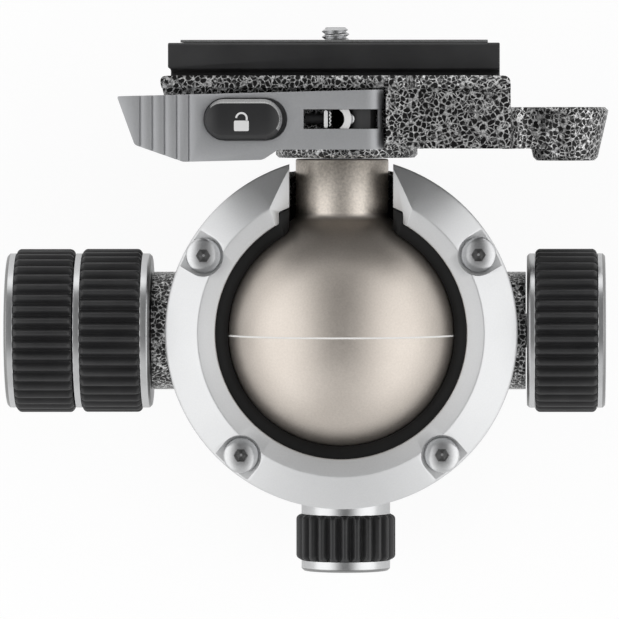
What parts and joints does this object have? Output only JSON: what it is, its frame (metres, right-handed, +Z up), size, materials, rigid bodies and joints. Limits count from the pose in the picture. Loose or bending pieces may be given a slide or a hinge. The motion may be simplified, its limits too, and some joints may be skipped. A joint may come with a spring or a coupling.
{
  "type": "ball head",
  "caption": "Camera ball head with side locking knobs, a pan lock and a lever-release plate clamp, platform dropped into the side notch.",
  "frame": {"origin": "centre of the base's underside, on the axis of the tripod thread", "axes": "+Z up through the body, +X towards the single large knob, +Y the way the dropped platform's plate faces"},
  "size_m": [0.1404, 0.1291, 0.0952],
  "materials": {
    "mottled_paint": "crackle paint: dark cells in a silver web, semi-gloss",
    "satin_silver": "bead-blasted satin",
    "champagne": "fine bead-blasted, champagne anodised",
    "grey_satin": "satin grey anodised",
    "black_rubber": "matte moulded",
    "black_anodised": "satin black anodised",
    "black_plastic": "fine matte moulded",
    "steel": "machined",
    "bronze": "machined",
    "vial": "clear tinted, glossy"
  },
  "bodies": {
    "base": {"base_plate": "black_anodised", "thread_bush": "steel", "pan_scale_ring": "satin_silver", "pan_thrust_washer": "bronze", "pan_spindle": "steel", "spindle_washer": "bronze", "spindle_nut": "steel", "base_screw_1": "steel", "base_screw_2": "steel", "base_screw_3": "steel"},
    "housing": {"housing": "mottled_paint", "collar_ring": "satin_silver", "collar_screw_1": "steel", "collar_screw_2": "steel", "collar_screw_3": "steel", "collar_screw_4": "steel", "ball_bushing": "black_plastic", "lower_seat": "black_plastic", "seat_spring": "steel", "left_bush": "bronze", "right_bush": "bronze", "pan_bush": "bronze"},
    "lock_shoe": {"lock_shoe": "black_plastic"},
    "lock_knob": {"lock_knob_core": "satin_silver", "lock_knob_grip": "black_rubber", "lock_knob_cap": "satin_silver", "lock_spindle": "steel"},
    "friction_washer": {"friction_washer": "steel"},
    "friction_knob": {"friction_knob_core": "satin_silver", "friction_knob_grip": "black_rubber"},
    "right_shoe": {"right_shoe": "black_plastic"},
    "right_knob": {"right_knob_core": "satin_silver", "right_knob_grip": "black_rubber", "right_knob_cap": "satin_silver", "right_spindle": "steel"},
    "pan_shoe": {"pan_shoe": "bronze"},
    "pan_knob": {"pan_knob_core": "satin_silver", "pan_knob_grip": "black_rubber", "pan_knob_cap": "satin_silver", "pan_screw": "steel"},
    "ball": {"ball": "champagne", "stem_bolt": "steel"},
    "platform": {"clamp_body": "mottled_paint", "level_cup": "black_plastic", "level_vial": "vial"},
    "jaw": {"rear_jaw": "mottled_paint", "tension_rod": "steel", "rod_nut": "steel", "guide_pin_1": "steel", "guide_pin_2": "steel", "jaw_spring_1": "steel", "jaw_spring_2": "steel", "lever_barrel": "black_anodised"},
    "lever": {"lever": "grey_satin", "latch_pin": "steel"},
    "lock_button": {"lock_button": "black_plastic", "button_spring": "steel"},
    "plate": {"plate": "black_anodised", "plate_pad": "black_rubber"},
    "camera_screw": {"camera_screw": "steel"}
  },
  "joints": [
    {"name": "pan", "type": "hinge", "parent": "base", "child": "housing", "pos_m": [0, 0, 0.02], "axis": [0, 0, 1], "continuous": true},
    {"name": "ball_tilt", "type": "hinge", "parent": "housing", "child": "ball", "pos_m": [0, 0, 0.06], "axis": [1, 0, 0], "range_deg": [0, 130]},
    {"name": "platform_spin", "type": "hinge", "parent": "ball", "child": "platform", "pos_m": [0, 0, 0.06], "axis": [0, 1, 0], "continuous": true},
    {"name": "lock_shoe_slide", "type": "slide", "parent": "housing", "child": "lock_shoe", "axis": [-1, 0, 0], "range_m": [0, 0.0013]},
    {"name": "lock_knob_turn", "type": "hinge", "parent": "lock_shoe", "child": "lock_knob", "pos_m": [-0.07, 0, 0.053], "axis": [-1, 0, 0], "range_deg": [0, 360]},
    {"name": "friction_knob_turn", "type": "hinge", "parent": "housing", "child": "friction_knob", "pos_m": [-0.053, 0, 0.053], "axis": [1, 0, 0], "range_deg": [0, 270]},
    {"name": "friction_washer_slide", "type": "slide", "parent": "housing", "child": "friction_washer", "axis": [1, 0, 0], "range_m": [0, 0.00063]},
    {"name": "right_shoe_slide", "type": "slide", "parent": "housing", "child": "right_shoe", "axis": [1, 0, 0], "range_m": [0, 0.0013]},
    {"name": "right_knob_turn", "type": "hinge", "parent": "right_shoe", "child": "right_knob", "pos_m": [0.053, 0, 0.053], "axis": [1, 0, 0], "range_deg": [0, 360]},
    {"name": "pan_shoe_slide", "type": "slide", "parent": "housing", "child": "pan_shoe", "axis": [0, -1, 0], "range_m": [0, 0.00105]},
    {"name": "pan_knob_turn", "type": "hinge", "parent": "pan_shoe", "child": "pan_knob", "pos_m": [0, -0.05, 0.0215], "axis": [0, -1, 0], "range_deg": [0, 360]},
    {"name": "jaw_slide", "type": "slide", "parent": "platform", "child": "jaw", "axis": [0, 0, -1], "range_m": [0, 0.0022]},
    {"name": "lever_open", "type": "hinge", "parent": "jaw", "child": "lever", "pos_m": [0.0052, 0.04965, 0.0881], "axis": [0, 1, 0], "range_deg": [0, 95]},
    {"name": "button_press", "type": "slide", "parent": "lever", "child": "lock_button", "axis": [0, 0, -1], "range_m": [0, 0.0015], "stiffness_N_per_m": 600, "springref_m": -0.001},
    {"name": "plate_slide", "type": "slide", "parent": "platform", "child": "plate", "axis": [1, 0, 0], "range_m": [-0.08, 0.08]},
    {"name": "camera_screw_turn", "type": "hinge", "parent": "plate", "child": "camera_screw", "pos_m": [-0.0015, 0.064, 0.06], "axis": [0, 1, 0], "continuous": true}
  ],
  "couplings": [
    {"joint": "lock_shoe_slide", "follows": "lock_knob_turn", "m_per_rad": 0.00019894},
    {"joint": "friction_washer_slide", "follows": "friction_knob_turn", "m_per_rad": 0.00012732},
    {"joint": "right_shoe_slide", "follows": "right_knob_turn", "m_per_rad": 0.00019894},
    {"joint": "pan_shoe_slide", "follows": "pan_knob_turn", "m_per_rad": 0.00015915},
    {"joint": "jaw_slide", "follows": "lever_open", "m_per_rad": 0.0012732}
  ]
}
